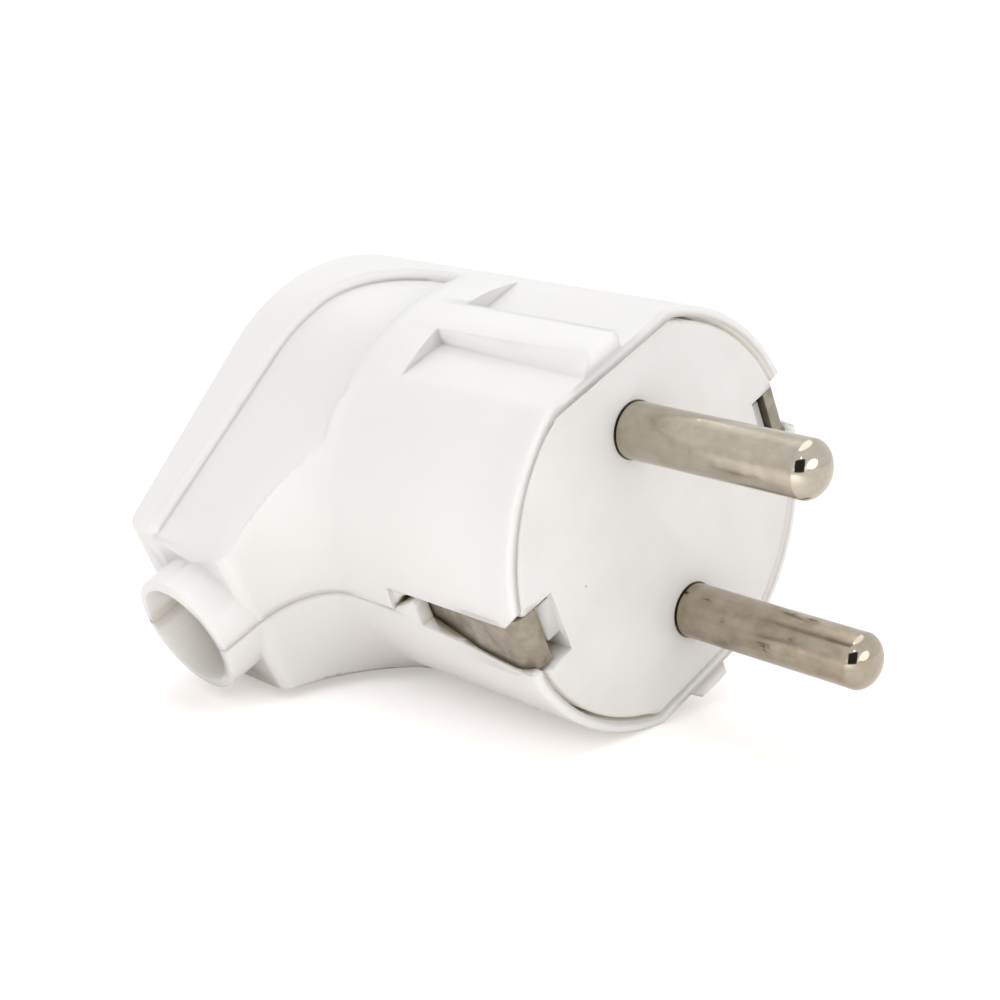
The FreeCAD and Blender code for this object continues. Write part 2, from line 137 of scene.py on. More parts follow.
def spread(tree, source, low, high, bottom=0.0, top=1.0):
    node = addNode(tree, "ShaderNodeMapRange", {1: low, 2: high, 3: bottom, 4: top}, {0: source})
    node.interpolation_type = "SMOOTHSTEP"
    return node.outputs[0]


def noise(tree, place, scale, detail=3.0, rough=0.5):
    values = {"Scale": scale, "Detail": detail, "Roughness": rough}
    return addNode(tree, "ShaderNodeTexNoise", values, {"Vector": place}).outputs["Fac"]


# soft clouding of a moulded surface, and the few small specks moulded into it
cloudRange = (0.3, 0.7)
speckRange = (1.0, 0.5)
leastReach = 0.001  # keeps a speck's size above nothing


def makeClouding():
    tree, given, out = newGroup(
        "clouding",
        [("place", "Vector", None), ("cloud size", "Float", 60.0), ("speck size", "Float", 400.0),
         ("speck share", "Float", 0.05)],
        [("cloud", "Float"), ("speck", "Float")],
    )
    cloud = addNode(tree, "ShaderNodeTexNoise", {"Detail": 4.0, "Roughness": 0.55},
                    {"Vector": given.outputs["place"], "Scale": given.outputs["cloud size"]})
    cells = addNode(tree, "ShaderNodeTexVoronoi", {"Randomness": 1.0},
                    {"Vector": given.outputs["place"], "Scale": given.outputs["speck size"]})
    reach = mathNode(tree, "MULTIPLY", given.outputs["speck share"], cells.outputs["Color"])
    depth = mathNode(tree, "DIVIDE", cells.outputs["Distance"], mathNode(tree, "ADD", reach, leastReach))
    tree.links.new(spread(tree, cloud.outputs["Fac"], *cloudRange), out.inputs["cloud"])
    tree.links.new(spread(tree, depth, *speckRange), out.inputs["speck"])
    return tree


# fine spark-eroded grain of a moulding tool
def makeMouldGrain():
    tree, given, out = newGroup(
        "mould grain",
        [("place", "Vector", None), ("grain size", "Float", 2600.0)],
        [("height", "Float")],
    )
    grain = addNode(tree, "ShaderNodeTexNoise", {"Detail": 2.0},
                    {"Vector": given.outputs["place"], "Scale": given.outputs["grain size"]})
    tree.links.new(grain.outputs["Fac"], out.inputs["height"])
    return tree


# handling marks on metal: fine drawn lines, short dark scuffs lying along them, and broad stains
wearRange = {"line": (0.3, 0.7), "scuff": (0.6, 0.68), "patch": (0.5, 0.62), "stain": (0.35, 0.68)}


def makeWear():
    tree, given, out = newGroup(
        "wear",
        [("place", "Vector", None), ("lines", "Vector", (100.0, 2000.0, 2000.0)),
         ("scuffs", "Vector", (200.0, 2000.0, 2000.0)), ("stain size", "Float", 250.0),
         ("scuff share", "Float", 0.5)],
        [("line", "Float"), ("scuff", "Float"), ("stain", "Float")],
    )

    def stretched(scale, detail):
        place = addNode(tree, "ShaderNodeVectorMath", links={0: given.outputs["place"], 1: scale},
                        operation="MULTIPLY").outputs["Vector"]
        return noise(tree, place, 1.0, detail, 0.55)

    line = stretched(given.outputs["lines"], 3.0)
    scuff = stretched(given.outputs["scuffs"], 4.0)
    stain = addNode(tree, "ShaderNodeTexNoise", {"Detail": 5.0, "Roughness": 0.6},
                    {"Vector": given.outputs["place"], "Scale": given.outputs["stain size"]})
    patch = spread(tree, stain.outputs["Fac"], *wearRange["patch"])
    mark = mathNode(tree, "MULTIPLY", spread(tree, scuff, *wearRange["scuff"]), patch)
    tree.links.new(spread(tree, line, *wearRange["line"]), out.inputs["line"])
    tree.links.new(mathNode(tree, "MULTIPLY", mark, given.outputs["scuff share"]), out.inputs["scuff"])
    tree.links.new(spread(tree, stain.outputs["Fac"], *wearRange["stain"]), out.inputs["stain"])
    return tree


clouding = makeClouding()
mouldGrain = makeMouldGrain()
wear = makeWear()


def newMaterial(name):
    material = bpy.data.materials.new(name)
    material.use_nodes = True
    tree = material.node_tree
    shader = tree.nodes["Principled BSDF"]
    place = tree.nodes.new("ShaderNodeTexCoord").outputs["Object"]
    return material, tree, shader, place


def useGroup(tree, group, place, values):
    node = tree.nodes.new("ShaderNodeGroup")
    node.node_tree = group
    tree.links.new(place, node.inputs["place"])
    for name, value in values.items():
        node.inputs[name].default_value = value
    return node


def mixColour(tree, share, first, second):
    node = tree.nodes.new("ShaderNodeMix")
    node.data_type = "RGBA"
    tree.links.new(share, node.inputs[0])
    for index, value in ((6, first), (7, second)):
        if isinstance(value, tuple):
            node.inputs[index].default_value = (*value, 1.0)
        else:
            tree.links.new(value, node.inputs[index])
    return node.outputs[2]


shadeSamples = 6
paintedShadeShare = (0.42, 0.05)  # openness at which the painted shade starts and is full
plasticIor = 1.5
tipBlend = 0.00005


# small rounding of every edge in the shading, with the surface's own relief on top
def addRelief(tree, shader, height, strength, depth, edge):
    soft = addNode(tree, "ShaderNodeBevel", {"Radius": edge}, samples=shadeSamples)
    bump = addNode(tree, "ShaderNodeBump", {"Strength": strength, "Distance": depth},
                   {"Height": height, "Normal": soft.outputs["Normal"]})
    tree.links.new(bump.outputs["Normal"], shader.inputs["Normal"])


# moulded plastics: painted shade, the colour darkens and warms where ambient occlusion finds the surface in
# a gap, a hole or an inner corner
plasticLooks = {
    "housing plastic": {
        "clean": (0.88, 0.875, 0.862), "aged": (0.86, 0.851, 0.834), "paintedShade": (0.80, 0.73, 0.60),
        "speckColour": (0.6, 0.57, 0.52), "cloud": 45.0, "speck": 130.0, "speckShare": 0.02,
        "paintedShadeReach": 0.0035, "rough": (0.38, 0.46), "grain": 2400.0, "bump": 0.05, "bumpDepth": 0.00003,
        "edge": 0.0003, "bleed": 0.3, "bleedReach": (0.0030, 0.0029, 0.0027),
    },
    # painted light: a lighter, warmer copy of the housing plastic, given to the bore and to the gap round
    # the disc
    "inner wall painted light": {
        "clean": (0.965, 0.92, 0.835), "aged": (0.955, 0.905, 0.815), "paintedShade": (0.88, 0.80, 0.66),
        "speckColour": (0.6, 0.57, 0.52), "cloud": 45.0, "speck": 130.0, "speckShare": 0.02,
        "paintedShadeReach": 0.0006, "rough": (0.38, 0.46), "grain": 2400.0, "bump": 0.05, "bumpDepth": 0.00003,
        "edge": 0.0, "bleed": 1.0, "bleedReach": (0.0052, 0.0050, 0.0047), "seam": (0.0002, 0.0012),
    },
    "carrier plastic": {
        "clean": (0.835, 0.832, 0.818), "aged": (0.785, 0.78, 0.762), "paintedShade": (0.52, 0.46, 0.34),
        "speckColour": (0.45, 0.43, 0.40), "cloud": 110.0, "speck": 330.0, "speckShare": 0.06,
        "paintedShadeReach": 0.0026, "rough": (0.36, 0.46), "grain": 1900.0, "bump": 0.08, "bumpDepth": 0.00003,
        "edge": 0.00010, "bleed": 0.3, "bleedReach": (0.0030, 0.0028, 0.0025),
    },
}


def makePlastic(name):
    look = plasticLooks[name]
    material, tree, shader, place = newMaterial(name)
    cloud = useGroup(tree, clouding, place, {
        "cloud size": look["cloud"], "speck size": look["speck"], "speck share": look["speckShare"]})
    body = mixColour(tree, cloud.outputs["cloud"], look["clean"], look["aged"])
    specked = mixColour(tree, cloud.outputs["speck"], body, look["speckColour"])
    # painted shade: ambient occlusion mixes a darker, warmer colour into gaps, holes and inner corners
    hollow = addNode(tree, "ShaderNodeAmbientOcclusion", {"Distance": look["paintedShadeReach"]},
                     samples=shadeSamples)
    paintedShade = spread(tree, hollow.outputs["AO"], *paintedShadeShare)
    tree.links.new(mixColour(tree, paintedShade, specked, look["paintedShade"]), shader.inputs["Base Color"])
    low, high = look["rough"]
    tree.links.new(spread(tree, cloud.outputs["cloud"], 0.0, 1.0, low, high), shader.inputs["Roughness"])
    grain = useGroup(tree, mouldGrain, place, {"grain size": look["grain"]})
    addRelief(tree, shader, grain.outputs["height"], look["bump"], look["bumpDepth"], look["edge"])
    shader.inputs["IOR"].default_value = plasticIor
    shader.inputs["Subsurface Weight"].default_value = look["bleed"]
    shader.inputs["Subsurface Radius"].default_value = look["bleedReach"]
    shader.inputs["Subsurface Scale"].default_value = 1.0
    if "seam" in look:  # no bleed beside the joint of the half shells, where it would draw a dark line
        above = addNode(tree, "ShaderNodeVectorMath", {1: laid(0.0, 0.0, 1.0)}, {0: place},
                        operation="DOT_PRODUCT").outputs["Value"]
        start, end = look["seam"]
        bleed = spread(tree, mathNode(tree, "ABSOLUTE", above), start, end, 0.0, look["bleed"])
        tree.links.new(bleed, shader.inputs["Subsurface Weight"])
    return material


# plated and bare metals; a pin is drawn along X and its domed tip is polished from tipStart on
metalLooks = {
    "nickel pin": {
        "bright": (0.505, 0.468, 0.385), "dull": (0.465, 0.43, 0.35), "stained": (0.39, 0.345, 0.265),
        "scuffColour": (0.06, 0.048, 0.032),
        "lines": (160.0, 1300.0, 1300.0), "scuffs": (190.0, 1900.0, 1900.0),
        "stain": 620.0, "stainShare": 0.6, "scuffShare": 0.8, "rough": (0.18, 0.26),
        "bump": 0.03, "bumpDepth": 0.00002, "edge": 0.00005, "tipStart": 0.0176, "tipRough": 0.09,
    },
    "worn nickel pin": {
        "bright": (0.455, 0.41, 0.33), "dull": (0.41, 0.36, 0.28), "stained": (0.31, 0.25, 0.17),
        "scuffColour": (0.05, 0.038, 0.025),
        "lines": (130.0, 1300.0, 1300.0), "scuffs": (150.0, 1700.0, 1700.0),
        "stain": 480.0, "stainShare": 0.7, "scuffShare": 1.0, "rough": (0.18, 0.27),
        "bump": 0.03, "bumpDepth": 0.00002, "edge": 0.00005, "tipStart": 0.0176, "tipRough": 0.09,
    },
    "nickel strip": {
        "bright": (0.385, 0.36, 0.297), "dull": (0.32, 0.295, 0.238), "stained": (0.23, 0.198, 0.143),
        "scuffColour": (0.17, 0.15, 0.115),
        "lines": (850.0, 850.0, 850.0), "scuffs": (1700.0, 1700.0, 1700.0),
        "stain": 620.0, "stainShare": 0.65, "scuffShare": 0.7, "rough": (0.34, 0.46),
        "bump": 0.08, "bumpDepth": 0.00002, "edge": 0.00012,
    },
    "zinc steel": {
        "bright": (0.60, 0.60, 0.585), "dull": (0.50, 0.50, 0.485), "stained": (0.42, 0.41, 0.37),
        "scuffColour": (0.2, 0.2, 0.2),
        "lines": (900.0, 900.0, 900.0), "scuffs": (700.0, 700.0, 700.0),
        "stain": 500.0, "stainShare": 0.4, "scuffShare": 0.35, "rough": (0.28, 0.42),
        "bump": 0.08, "bumpDepth": 0.00002, "edge": 0.00008,
    },
    "brass": {
        "bright": (0.72, 0.53, 0.24), "dull": (0.60, 0.43, 0.19), "stained": (0.42, 0.29, 0.12),
        "scuffColour": (0.22, 0.15, 0.07),
        "lines": (900.0, 900.0, 900.0), "scuffs": (700.0, 700.0, 700.0),
        "stain": 500.0, "stainShare": 0.4, "scuffShare": 0.3, "rough": (0.26, 0.4),
        "bump": 0.08, "bumpDepth": 0.00002, "edge": 0.00008,
    },
}


def makeMetal(name):
    look = metalLooks[name]
    material, tree, shader, place = newMaterial(name)
    marks = useGroup(tree, wear, place, {
        "lines": look["lines"], "scuffs": look["scuffs"], "stain size": look["stain"],
        "scuff share": look["scuffShare"]})
    low, high = look["rough"]
    rough = spread(tree, marks.outputs["line"], 0.0, 1.0, low, high)
    stain = mathNode(tree, "MULTIPLY", marks.outputs["stain"], look["stainShare"])
    scuff = marks.outputs["scuff"]
    if "tipStart" in look:  # the dome is bright and clean
        along = addNode(tree, "ShaderNodeSeparateXYZ", links={0: place}).outputs["X"]
        tip = spread(tree, along, look["tipStart"] - tipBlend, look["tipStart"] + tipBlend)
        stem = mathNode(tree, "SUBTRACT", 1.0, tip)
        stain = mathNode(tree, "MULTIPLY", stain, stem)
        scuff = mathNode(tree, "MULTIPLY", scuff, stem)
        shine = mathNode(tree, "MULTIPLY", tip, look["tipRough"])
        rough = mathNode(tree, "ADD", mathNode(tree, "MULTIPLY", rough, stem), shine)
    toned = mixColour(tree, marks.outputs["line"], look["bright"], look["dull"])
    stained = mixColour(tree, stain, toned, look["stained"])
    tree.links.new(mixColour(tree, scuff, stained, look["scuffColour"]), shader.inputs["Base Color"])
    tree.links.new(rough, shader.inputs["Roughness"])
    shader.inputs["Metallic"].default_value = 1.0
    addRelief(tree, shader, marks.outputs["line"], look["bump"], look["bumpDepth"], look["edge"])
    return material


finishes = {name: makePlastic(name) for name in plasticLooks}
finishes.update({name: makeMetal(name) for name in metalLooks})
print("materials:", ", ".join(finishes))


# each CAD node is copied, its loose triangles joined, and shown with soft shading
dressing = {
    "upper_shell": ("upper_half", "housing plastic", "housing_plastic"),
    "lower_shell": ("lower_half", "housing plastic", "housing_plastic"),
    "contact_carrier": ("face_carrier", "carrier plastic", "carrier_plastic"),
    "upper_pin": ("pin_upper", "nickel pin", "nickel_pin"),
    "lower_pin": ("pin_lower", "worn nickel pin", "nickel_pin"),
    "earth_nut": ("earth_square_nut", "brass", "brass"),
    "earth_washer": ("earth_clamp_washer", "zinc steel", "zinc_steel"),
    "cord_clamp": ("cord_clamp_bar", "carrier plastic", "carrier_plastic"),
    "housing_insert": ("threaded_insert", "brass", "brass"),
}
joinGap = 1e-6
softAngle = math.radians(35.0)
neckBore = {"x": -0.03285, "radius": 0.0052, "back": -0.019, "facing": 0.5}
discRim = {
    "radius": 0.0164, "flat": 0.01492, "plate": -0.0036, "roundEnd": -0.0005,
    "outward": 0.00028, "flatOutward": 0.0001, "flatRise": 0.35,
}
discGap = {"inner": 0.0152, "outer": 0.0174, "facing": 0.9}
pinShape = {"wall": 0.00235, "depth": -0.00018, "capStart": 0.017, "crease": 0.0176}


def dressNode(node):
    name, finish, slot = dressing[node]
    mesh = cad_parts[node].data.copy()
    mesh.name = name
    form = bmesh.new()
    form.from_mesh(mesh)
    bmesh.ops.remove_doubles(form, verts=form.verts, dist=joinGap)
    if "pin" in finish:
        finishPin(form, node)
    if node == "contact_carrier":
        seatDisc(form)
    form.to_mesh(mesh)
    form.free()
    mesh.materials.clear()
    mesh.materials.append(finishes[finish])
    mesh.shade_smooth()
    mesh.set_sharp_from_angle(angle=softAngle)
    if "pin" in finish:
        creasePin(mesh)
    if finish == "housing plastic":
        lightenWalls(mesh, lambda face: inNeck(face) or inGap(face, -1.0))
    if node == "contact_carrier":
        lightenWalls(mesh, lambda face: inGap(face, 1.0))
    piece = bpy.data.objects.new(name, mesh)
    scene.collection.objects.link(piece)
    even = piece.modifiers.new("even shading", "WEIGHTED_NORMAL")
    even.keep_sharp = True
    mount(piece, node)


# light comes through thin walls, so the neck's bore and the gap round the disc get a copy of the housing
# plastic with strong subsurface bleed; its lighter, warmer colour is painted light
def lightenWalls(mesh, chosen):
    mesh.materials.append(finishes["inner wall painted light"])
    for face in mesh.polygons:
        if chosen(face):
            face.material_index = 1


def inNeck(face):
    upright = Matrix.Rotation(-roll, 3, "X")
    place = upright @ face.center
    outward = Vector((place.x - neckBore["x"], 0.0, place.z))
    inside = outward.length < neckBore["radius"] and place.y < neckBore["back"]
    return inside and outward.normalized().dot(upright @ face.normal) < -neckBore["facing"]


# the mouth's wall faces in (-1), the disc's edge faces out (1)
def inGap(face, side):
    outward = Vector((0.0, face.center.y, face.center.z))
    inside = face.center.x > discRim["plate"] and discGap["inner"] < outward.length < discGap["outer"]
    return inside and outward.normalized().dot(face.normal) * side > discGap["facing"]


# the disc lies close to the mouth's flats and to its upper side by the near clip
def seatDisc(form):
    upright = Matrix.Rotation(-roll, 3, "X")
    for vert in form.verts:
        place = upright @ vert.co
        if place.x < discRim["plate"]:
            continue
        outward = Vector((0.0, place.y, place.z))
        if outward.length > discRim["radius"] and place.y < 0.0 < place.z:
            place += outward.normalized() * discRim["outward"]
        if abs(outward.z) > discRim["flat"]:
            place.z = outward.z + math.copysign(discRim["flatOutward"], outward.z)
            if place.x > discRim["roundEnd"]:
                place.x *= discRim["flatRise"]
        vert.co = upright.inverted() @ place


# a pin's wall reaches into the relief round its foot, and its cap starts at a crease
def finishPin(form, node):
    middle = middleOf(node)
    wall = [vert for vert in form.verts
            if math.hypot(vert.co.y - middle.y, vert.co.z - middle.z) > pinShape["wall"]]
    foot = min(vert.co.x for vert in wall)
    for vert in wall:
        if vert.co.x < foot + joinGap:
            vert.co.x = pinShape["depth"]
    tip = max(vert.co.x for vert in form.verts)
    squeeze = (tip - pinShape["crease"]) / (tip - pinShape["capStart"])
    for vert in form.verts:
        if vert.co.x > pinShape["capStart"] - joinGap:
            vert.co.x = tip - (tip - vert.co.x) * squeeze


def creasePin(mesh):
    ring = {vert.index for vert in mesh.vertices if abs(vert.co.x - pinShape["crease"]) < 10 * joinGap}
    for edge in mesh.edges:
        if ring.issuperset(edge.vertices):
            edge.use_edge_sharp = True


def mount(piece, node):
    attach(piece, "root")
    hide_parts(node)


for node in dressing:
    dressNode(node)
print("dressed CAD nodes:", len(dressing))


# Geometry Nodes: a tree with named inputs, and an object that it turns into a plain mesh
def newShape(name, inputs):
    tree = bpy.data.node_groups.new(name, "GeometryNodeTree")
    tree.interface.new_socket("seats", in_out="INPUT", socket_type="NodeSocketGeometry")
    for title, kind in inputs:
        tree.interface.new_socket(title, in_out="INPUT", socket_type="NodeSocket" + kind)
    tree.interface.new_socket("shape", in_out="OUTPUT", socket_type="NodeSocketGeometry")
    return tree, tree.nodes.new("NodeGroupInput").outputs, tree.nodes.new("NodeGroupOutput")


def bakeShape(name, tree, points, edges, values):
    seats = bpy.data.meshes.new(name + " seats")
    seats.from_pydata(points, edges, [])
    maker = bpy.data.objects.new(name + " maker", seats)
    scene.collection.objects.link(maker)
    nodes = maker.modifiers.new(name, "NODES")
    nodes.node_group = tree
    for item in tree.interface.items_tree:
        if item.name in values:
            nodes[item.identifier] = values[item.name]
    maker.update_tag()
    ready = maker.evaluated_get(bpy.context.evaluated_depsgraph_get())
    mesh = bpy.data.meshes.new_from_object(ready)
    mesh.name = name
    maker.modifiers.remove(nodes)
    bpy.data.objects.remove(maker)
    mesh.shade_smooth()
    mesh.set_sharp_from_angle(angle=softAngle)
    piece = bpy.data.objects.new(name, mesh)
    scene.collection.objects.link(piece)
    return piece


# slotted pan-head screw with a cut thread: seat at the origin, shank along +Z
screwShares = {  # of the shank's radius, then of the head's height and radius
    "core": 0.84, "point": 0.34, "pointEnd": 0.6, "thread": 0.16, "round": 0.5, "slotReach": 2.2,
}
screwSteps = {"core": 40, "spiral": 36, "bead": 3, "profile": 24, "ring": 48}


def makeScrewTree():
    tree, given, out = newShape("slotted screw", [
        ("shank radius", "Float"), ("shank length", "Float"), ("head radius", "Float"),
        ("head height", "Float"), ("slot width", "Float"), ("thread pitch", "Float"),
        ("turn", "Rotation"), ("metal", "Material")])
    radius, length = given["shank radius"], given["shank length"]
    headRadius, headHeight = given["head radius"], given["head height"]

    def upright(z):
        return addNode(tree, "ShaderNodeCombineXYZ", links={"Z": z}).outputs[0]

    def moved(geometry, offset):
        return addNode(tree, "GeometryNodeTransform", links={
            "Geometry": geometry, "Translation": offset}).outputs[0]

    # core and pointed end
    coreRadius = mathNode(tree, "MULTIPLY", radius, screwShares["core"])
    pointLength = mathNode(tree, "MULTIPLY", radius, screwShares["point"])
    coreLength = mathNode(tree, "SUBTRACT", length, pointLength)
    core = addNode(tree, "GeometryNodeMeshCylinder", {"Vertices": screwSteps["core"]},
                   {"Radius": coreRadius, "Depth": coreLength}).outputs["Mesh"]
    core = moved(core, upright(mathNode(tree, "MULTIPLY", coreLength, 0.5)))
    point = addNode(tree, "GeometryNodeMeshCone", {"Vertices": screwSteps["core"]},
                    {"Radius Top": mathNode(tree, "MULTIPLY", radius, screwShares["pointEnd"]),
                     "Radius Bottom": coreRadius, "Depth": pointLength}).outputs["Mesh"]
    point = moved(point, upright(coreLength))

    # thread: a three-sided bead along a spiral
    bead = mathNode(tree, "MULTIPLY", radius, screwShares["thread"])
    threadLength = mathNode(tree, "SUBTRACT", coreLength, given["thread pitch"])
    spiral = addNode(tree, "GeometryNodeCurveSpiral", {"Resolution": screwSteps["spiral"]},
                     {"Rotations": mathNode(tree, "DIVIDE", threadLength, given["thread pitch"]),
                      "Start Radius": coreRadius, "End Radius": coreRadius, "Height": threadLength})
    wedge = addNode(tree, "GeometryNodeCurvePrimitiveCircle", {"Resolution": screwSteps["bead"]},
                    {"Radius": bead})
    thread = addNode(tree, "GeometryNodeCurveToMesh", {"Fill Caps": True},
                     {"Curve": spiral.outputs[0], "Profile Curve": wedge.outputs[0]}).outputs[0]
    thread = moved(thread, upright(mathNode(tree, "MULTIPLY", given["thread pitch"], 0.5)))

    # head: turned along a line, round at its outer edge, then slotted
    line = addNode(tree, "GeometryNodeCurvePrimitiveLine", {"End": (0.0, 0.0, 0.0)},
                   {"Start": upright(mathNode(tree, "MULTIPLY", headHeight, -1.0))})
    fine = addNode(tree, "GeometryNodeResampleCurve", {"Count": screwSteps["profile"]},
                   {"Curve": line.outputs[0]})
    along = tree.nodes.new("GeometryNodeSplineParameter").outputs["Factor"]
    inward = mathNode(tree, "DIVIDE", along, screwShares["round"])
    outer = mathNode(tree, "MAXIMUM", mathNode(tree, "SUBTRACT", 1.0, inward), 0.0)
    square = mathNode(tree, "MULTIPLY", outer, outer)
    fall = mathNode(tree, "SQRT", mathNode(tree, "SUBTRACT", 1.0, square))
    drop = mathNode(tree, "MULTIPLY", mathNode(tree, "SUBTRACT", 1.0, fall),
                    mathNode(tree, "MULTIPLY", headHeight, screwShares["round"]))
    turned = mathNode(tree, "SUBTRACT", headRadius, drop)
    profile = addNode(tree, "GeometryNodeSetCurveRadius", links={"Curve": fine.outputs[0], "Radius": turned})
    ring = addNode(tree, "GeometryNodeCurvePrimitiveCircle", {
        "Resolution": screwSteps["ring"], "Radius": 1.0})
    size = tree.nodes.new("GeometryNodeInputRadius").outputs[0]  # the turned radius scales the ring
    head = addNode(tree, "GeometryNodeCurveToMesh", {"Fill Caps": True}, {
        "Curve": profile.outputs[0], "Profile Curve": ring.outputs[0], "Scale": size}).outputs[0]
    slotReach = mathNode(tree, "MULTIPLY", headRadius, screwShares["slotReach"])
    slotSize = addNode(tree, "ShaderNodeCombineXYZ", links={
        "X": slotReach, "Y": given["slot width"], "Z": headHeight}).outputs[0]
    slot = addNode(tree, "GeometryNodeMeshCube", links={"Size": slotSize}).outputs["Mesh"]
    slot = moved(slot, upright(mathNode(tree, "MULTIPLY", headHeight, -1.0)))
    slotted = addNode(tree, "GeometryNodeMeshBoolean", links={"Mesh 1": head, "Mesh 2": slot},
                      operation="DIFFERENCE").outputs["Mesh"]

    joined = tree.nodes.new("GeometryNodeJoinGeometry")
    for part in (core, point, thread, slotted):
        tree.links.new(part, joined.inputs[0])
    spots = addNode(tree, "GeometryNodeMeshToPoints", links={"Mesh": given["seats"]}).outputs[0]
    placed = addNode(tree, "GeometryNodeInstanceOnPoints", links={
        "Points": spots, "Instance": joined.outputs[0], "Rotation": given["turn"]}).outputs[0]
    real = addNode(tree, "GeometryNodeRealizeInstances", links={"Geometry": placed}).outputs[0]
    done = addNode(tree, "GeometryNodeSetMaterial", links={"Geometry": real, "Material": given["metal"]})
    tree.links.new(done.outputs[0], out.inputs["shape"])
    return tree


screwTree = makeScrewTree()
screwSets = {
    "terminal_screws": {
        "node": "pin_terminal_screws", "seats": [(-0.01585, 0.0, -0.0095), (-0.01585, 0.0, 0.0095)],
        "heading": "+X", "shank radius": 0.0015, "shank length": 0.0042, "head radius": 0.0024},
    "earth_clamp_screw": {
        "node": "earth_screw", "seats": [(-0.0199, 0.0, 0.0)],
        "heading": "+X", "shank radius": 0.00175, "shank length": 0.0058, "head radius": 0.0031},
    "clamp_screws": {
        "node": "cord_clamp_screws", "seats": [(-0.036, -0.010, 0.005), (-0.024, -0.010, 0.005)],
        "heading": "-Z", "shank radius": 0.0013, "shank length": 0.009, "head radius": 0.0023},
    "closing_screw": {
        "node": "housing_screw", "seats": [(-0.0296, 0.0, -0.011)],
        "heading": "+Z", "shank radius": 0.0016, "shank length": 0.019, "head radius": 0.0029},
}
headings = {"+X": ("Y", math.pi / 2), "+Z": ("Y", 0.0), "-Z": ("X", math.pi)}  # turn from +Z
headShare = 0.7  # head height over head radius
pitchShare = 0.36  # thread pitch over shank radius
slotWidth = 0.0008


def makeScrews(name):
    sizes = screwSets[name]
    values = {key: sizes[key] for key in ("shank radius", "shank length", "head radius")}
    values["head height"] = sizes["head radius"] * headShare
    values["slot width"] = slotWidth
    values["thread pitch"] = sizes["shank radius"] * pitchShare
    axis, angle = headings[sizes["heading"]]
    turn = Matrix.Rotation(roll, 3, "X") @ Matrix.Rotation(angle, 3, axis)
    values["turn"] = tuple(turn.to_euler())
    values["metal"] = finishes["zinc steel"]
    piece = bakeShape(name, screwTree, [laid(*seat) for seat in sizes["seats"]], [], values)
    mount(piece, sizes["node"])


for name in screwSets:
    makeScrews(name)
print("screws:", sum(len(sizes["seats"]) for sizes in screwSets.values()))


# earth strap: a flat strip swept along its bent path, with rolled edges and a hole in the middle
strapShape = {
    "tip": (-0.0007, 0.0154), "bow": 0.01735, "bowStart": -0.006, "back": -0.0185, "shoulder": 0.0153,
    "thickness": 0.0008, "width": 0.0053, "bend radius": 0.0015, "edge radius": 0.00018,
    "hole radius": 0.00185,
}
bendSteps = 12
edgeSteps = 4
holeSteps = 48
drillDepth = 0.01


def makeStripTree():
    tree, given, out = newShape("bent strip", [
        ("thickness", "Float"), ("width", "Float"), ("bend radius", "Float"), ("edge radius", "Float"),
        ("hole radius", "Float"), ("hole place", "Vector"), ("roll", "Rotation"), ("metal", "Material")])
    path = addNode(tree, "GeometryNodeMeshToCurve", links={"Mesh": given["seats"]})
    bent = addNode(tree, "GeometryNodeFilletCurve", links={
        "Curve": path.outputs[0], "Radius": given["bend radius"]}, mode="POLY")
    bent.inputs["Count"].default_value = bendSteps
    level = addNode(tree, "GeometryNodeSetCurveNormal", links={"Curve": bent.outputs[0]}, mode="Z_UP")
    section = addNode(tree, "GeometryNodeCurvePrimitiveQuadrilateral", links={
        "Width": given["thickness"], "Height": given["width"]})
    rolled = addNode(tree, "GeometryNodeFilletCurve", links={
        "Curve": section.outputs[0], "Radius": given["edge radius"]}, mode="POLY")
    rolled.inputs["Count"].default_value = edgeSteps
    strip = addNode(tree, "GeometryNodeCurveToMesh", {"Fill Caps": True},
                    {"Curve": level.outputs[0], "Profile Curve": rolled.outputs[0]}).outputs[0]
    drill = addNode(tree, "GeometryNodeMeshCylinder", {"Vertices": holeSteps, "Depth": drillDepth},
                    {"Radius": given["hole radius"]}).outputs["Mesh"]
    drill = addNode(tree, "GeometryNodeTransform", {"Rotation": (0.0, math.pi / 2, 0.0)},
                    {"Geometry": drill, "Translation": given["hole place"]}).outputs[0]
    drilled = addNode(tree, "GeometryNodeMeshBoolean", links={"Mesh 1": strip, "Mesh 2": drill},
                      operation="DIFFERENCE").outputs["Mesh"]
    laidDown = addNode(tree, "GeometryNodeTransform", links={
        "Geometry": drilled, "Rotation": given["roll"]}).outputs[0]
    real = addNode(tree, "GeometryNodeRealizeInstances", links={"Geometry": laidDown}).outputs[0]
    done = addNode(tree, "GeometryNodeSetMaterial", links={"Geometry": real, "Material": given["metal"]})
    tree.links.new(done.outputs[0], out.inputs["shape"])
    return tree


def makeStrap():
    shape = strapShape
    tipX, tipY = shape["tip"]
    bow = shape["bow"]
    half = [(tipX, tipY), (tipX, bow), (shape["bowStart"], bow), (shape["back"], shape["shoulder"])]
    path = half + [(x, -y) for x, y in reversed(half)]
    points = [(x, y, 0.0) for x, y in path]
    edges = [(index, index + 1) for index in range(len(points) - 1)]
    values = {key: shape[key] for key in ("thickness", "width", "bend radius", "edge radius", "hole radius")}
    values["hole place"] = (shape["back"], 0.0, 0.0)
    values["roll"] = (roll, 0.0, 0.0)
    values["metal"] = finishes["nickel strip"]
    piece = bakeShape("earth_clips", makeStripTree(), points, edges, values)
    mount(piece, "earth_strap")


makeStrap()
print("earth strap swept")


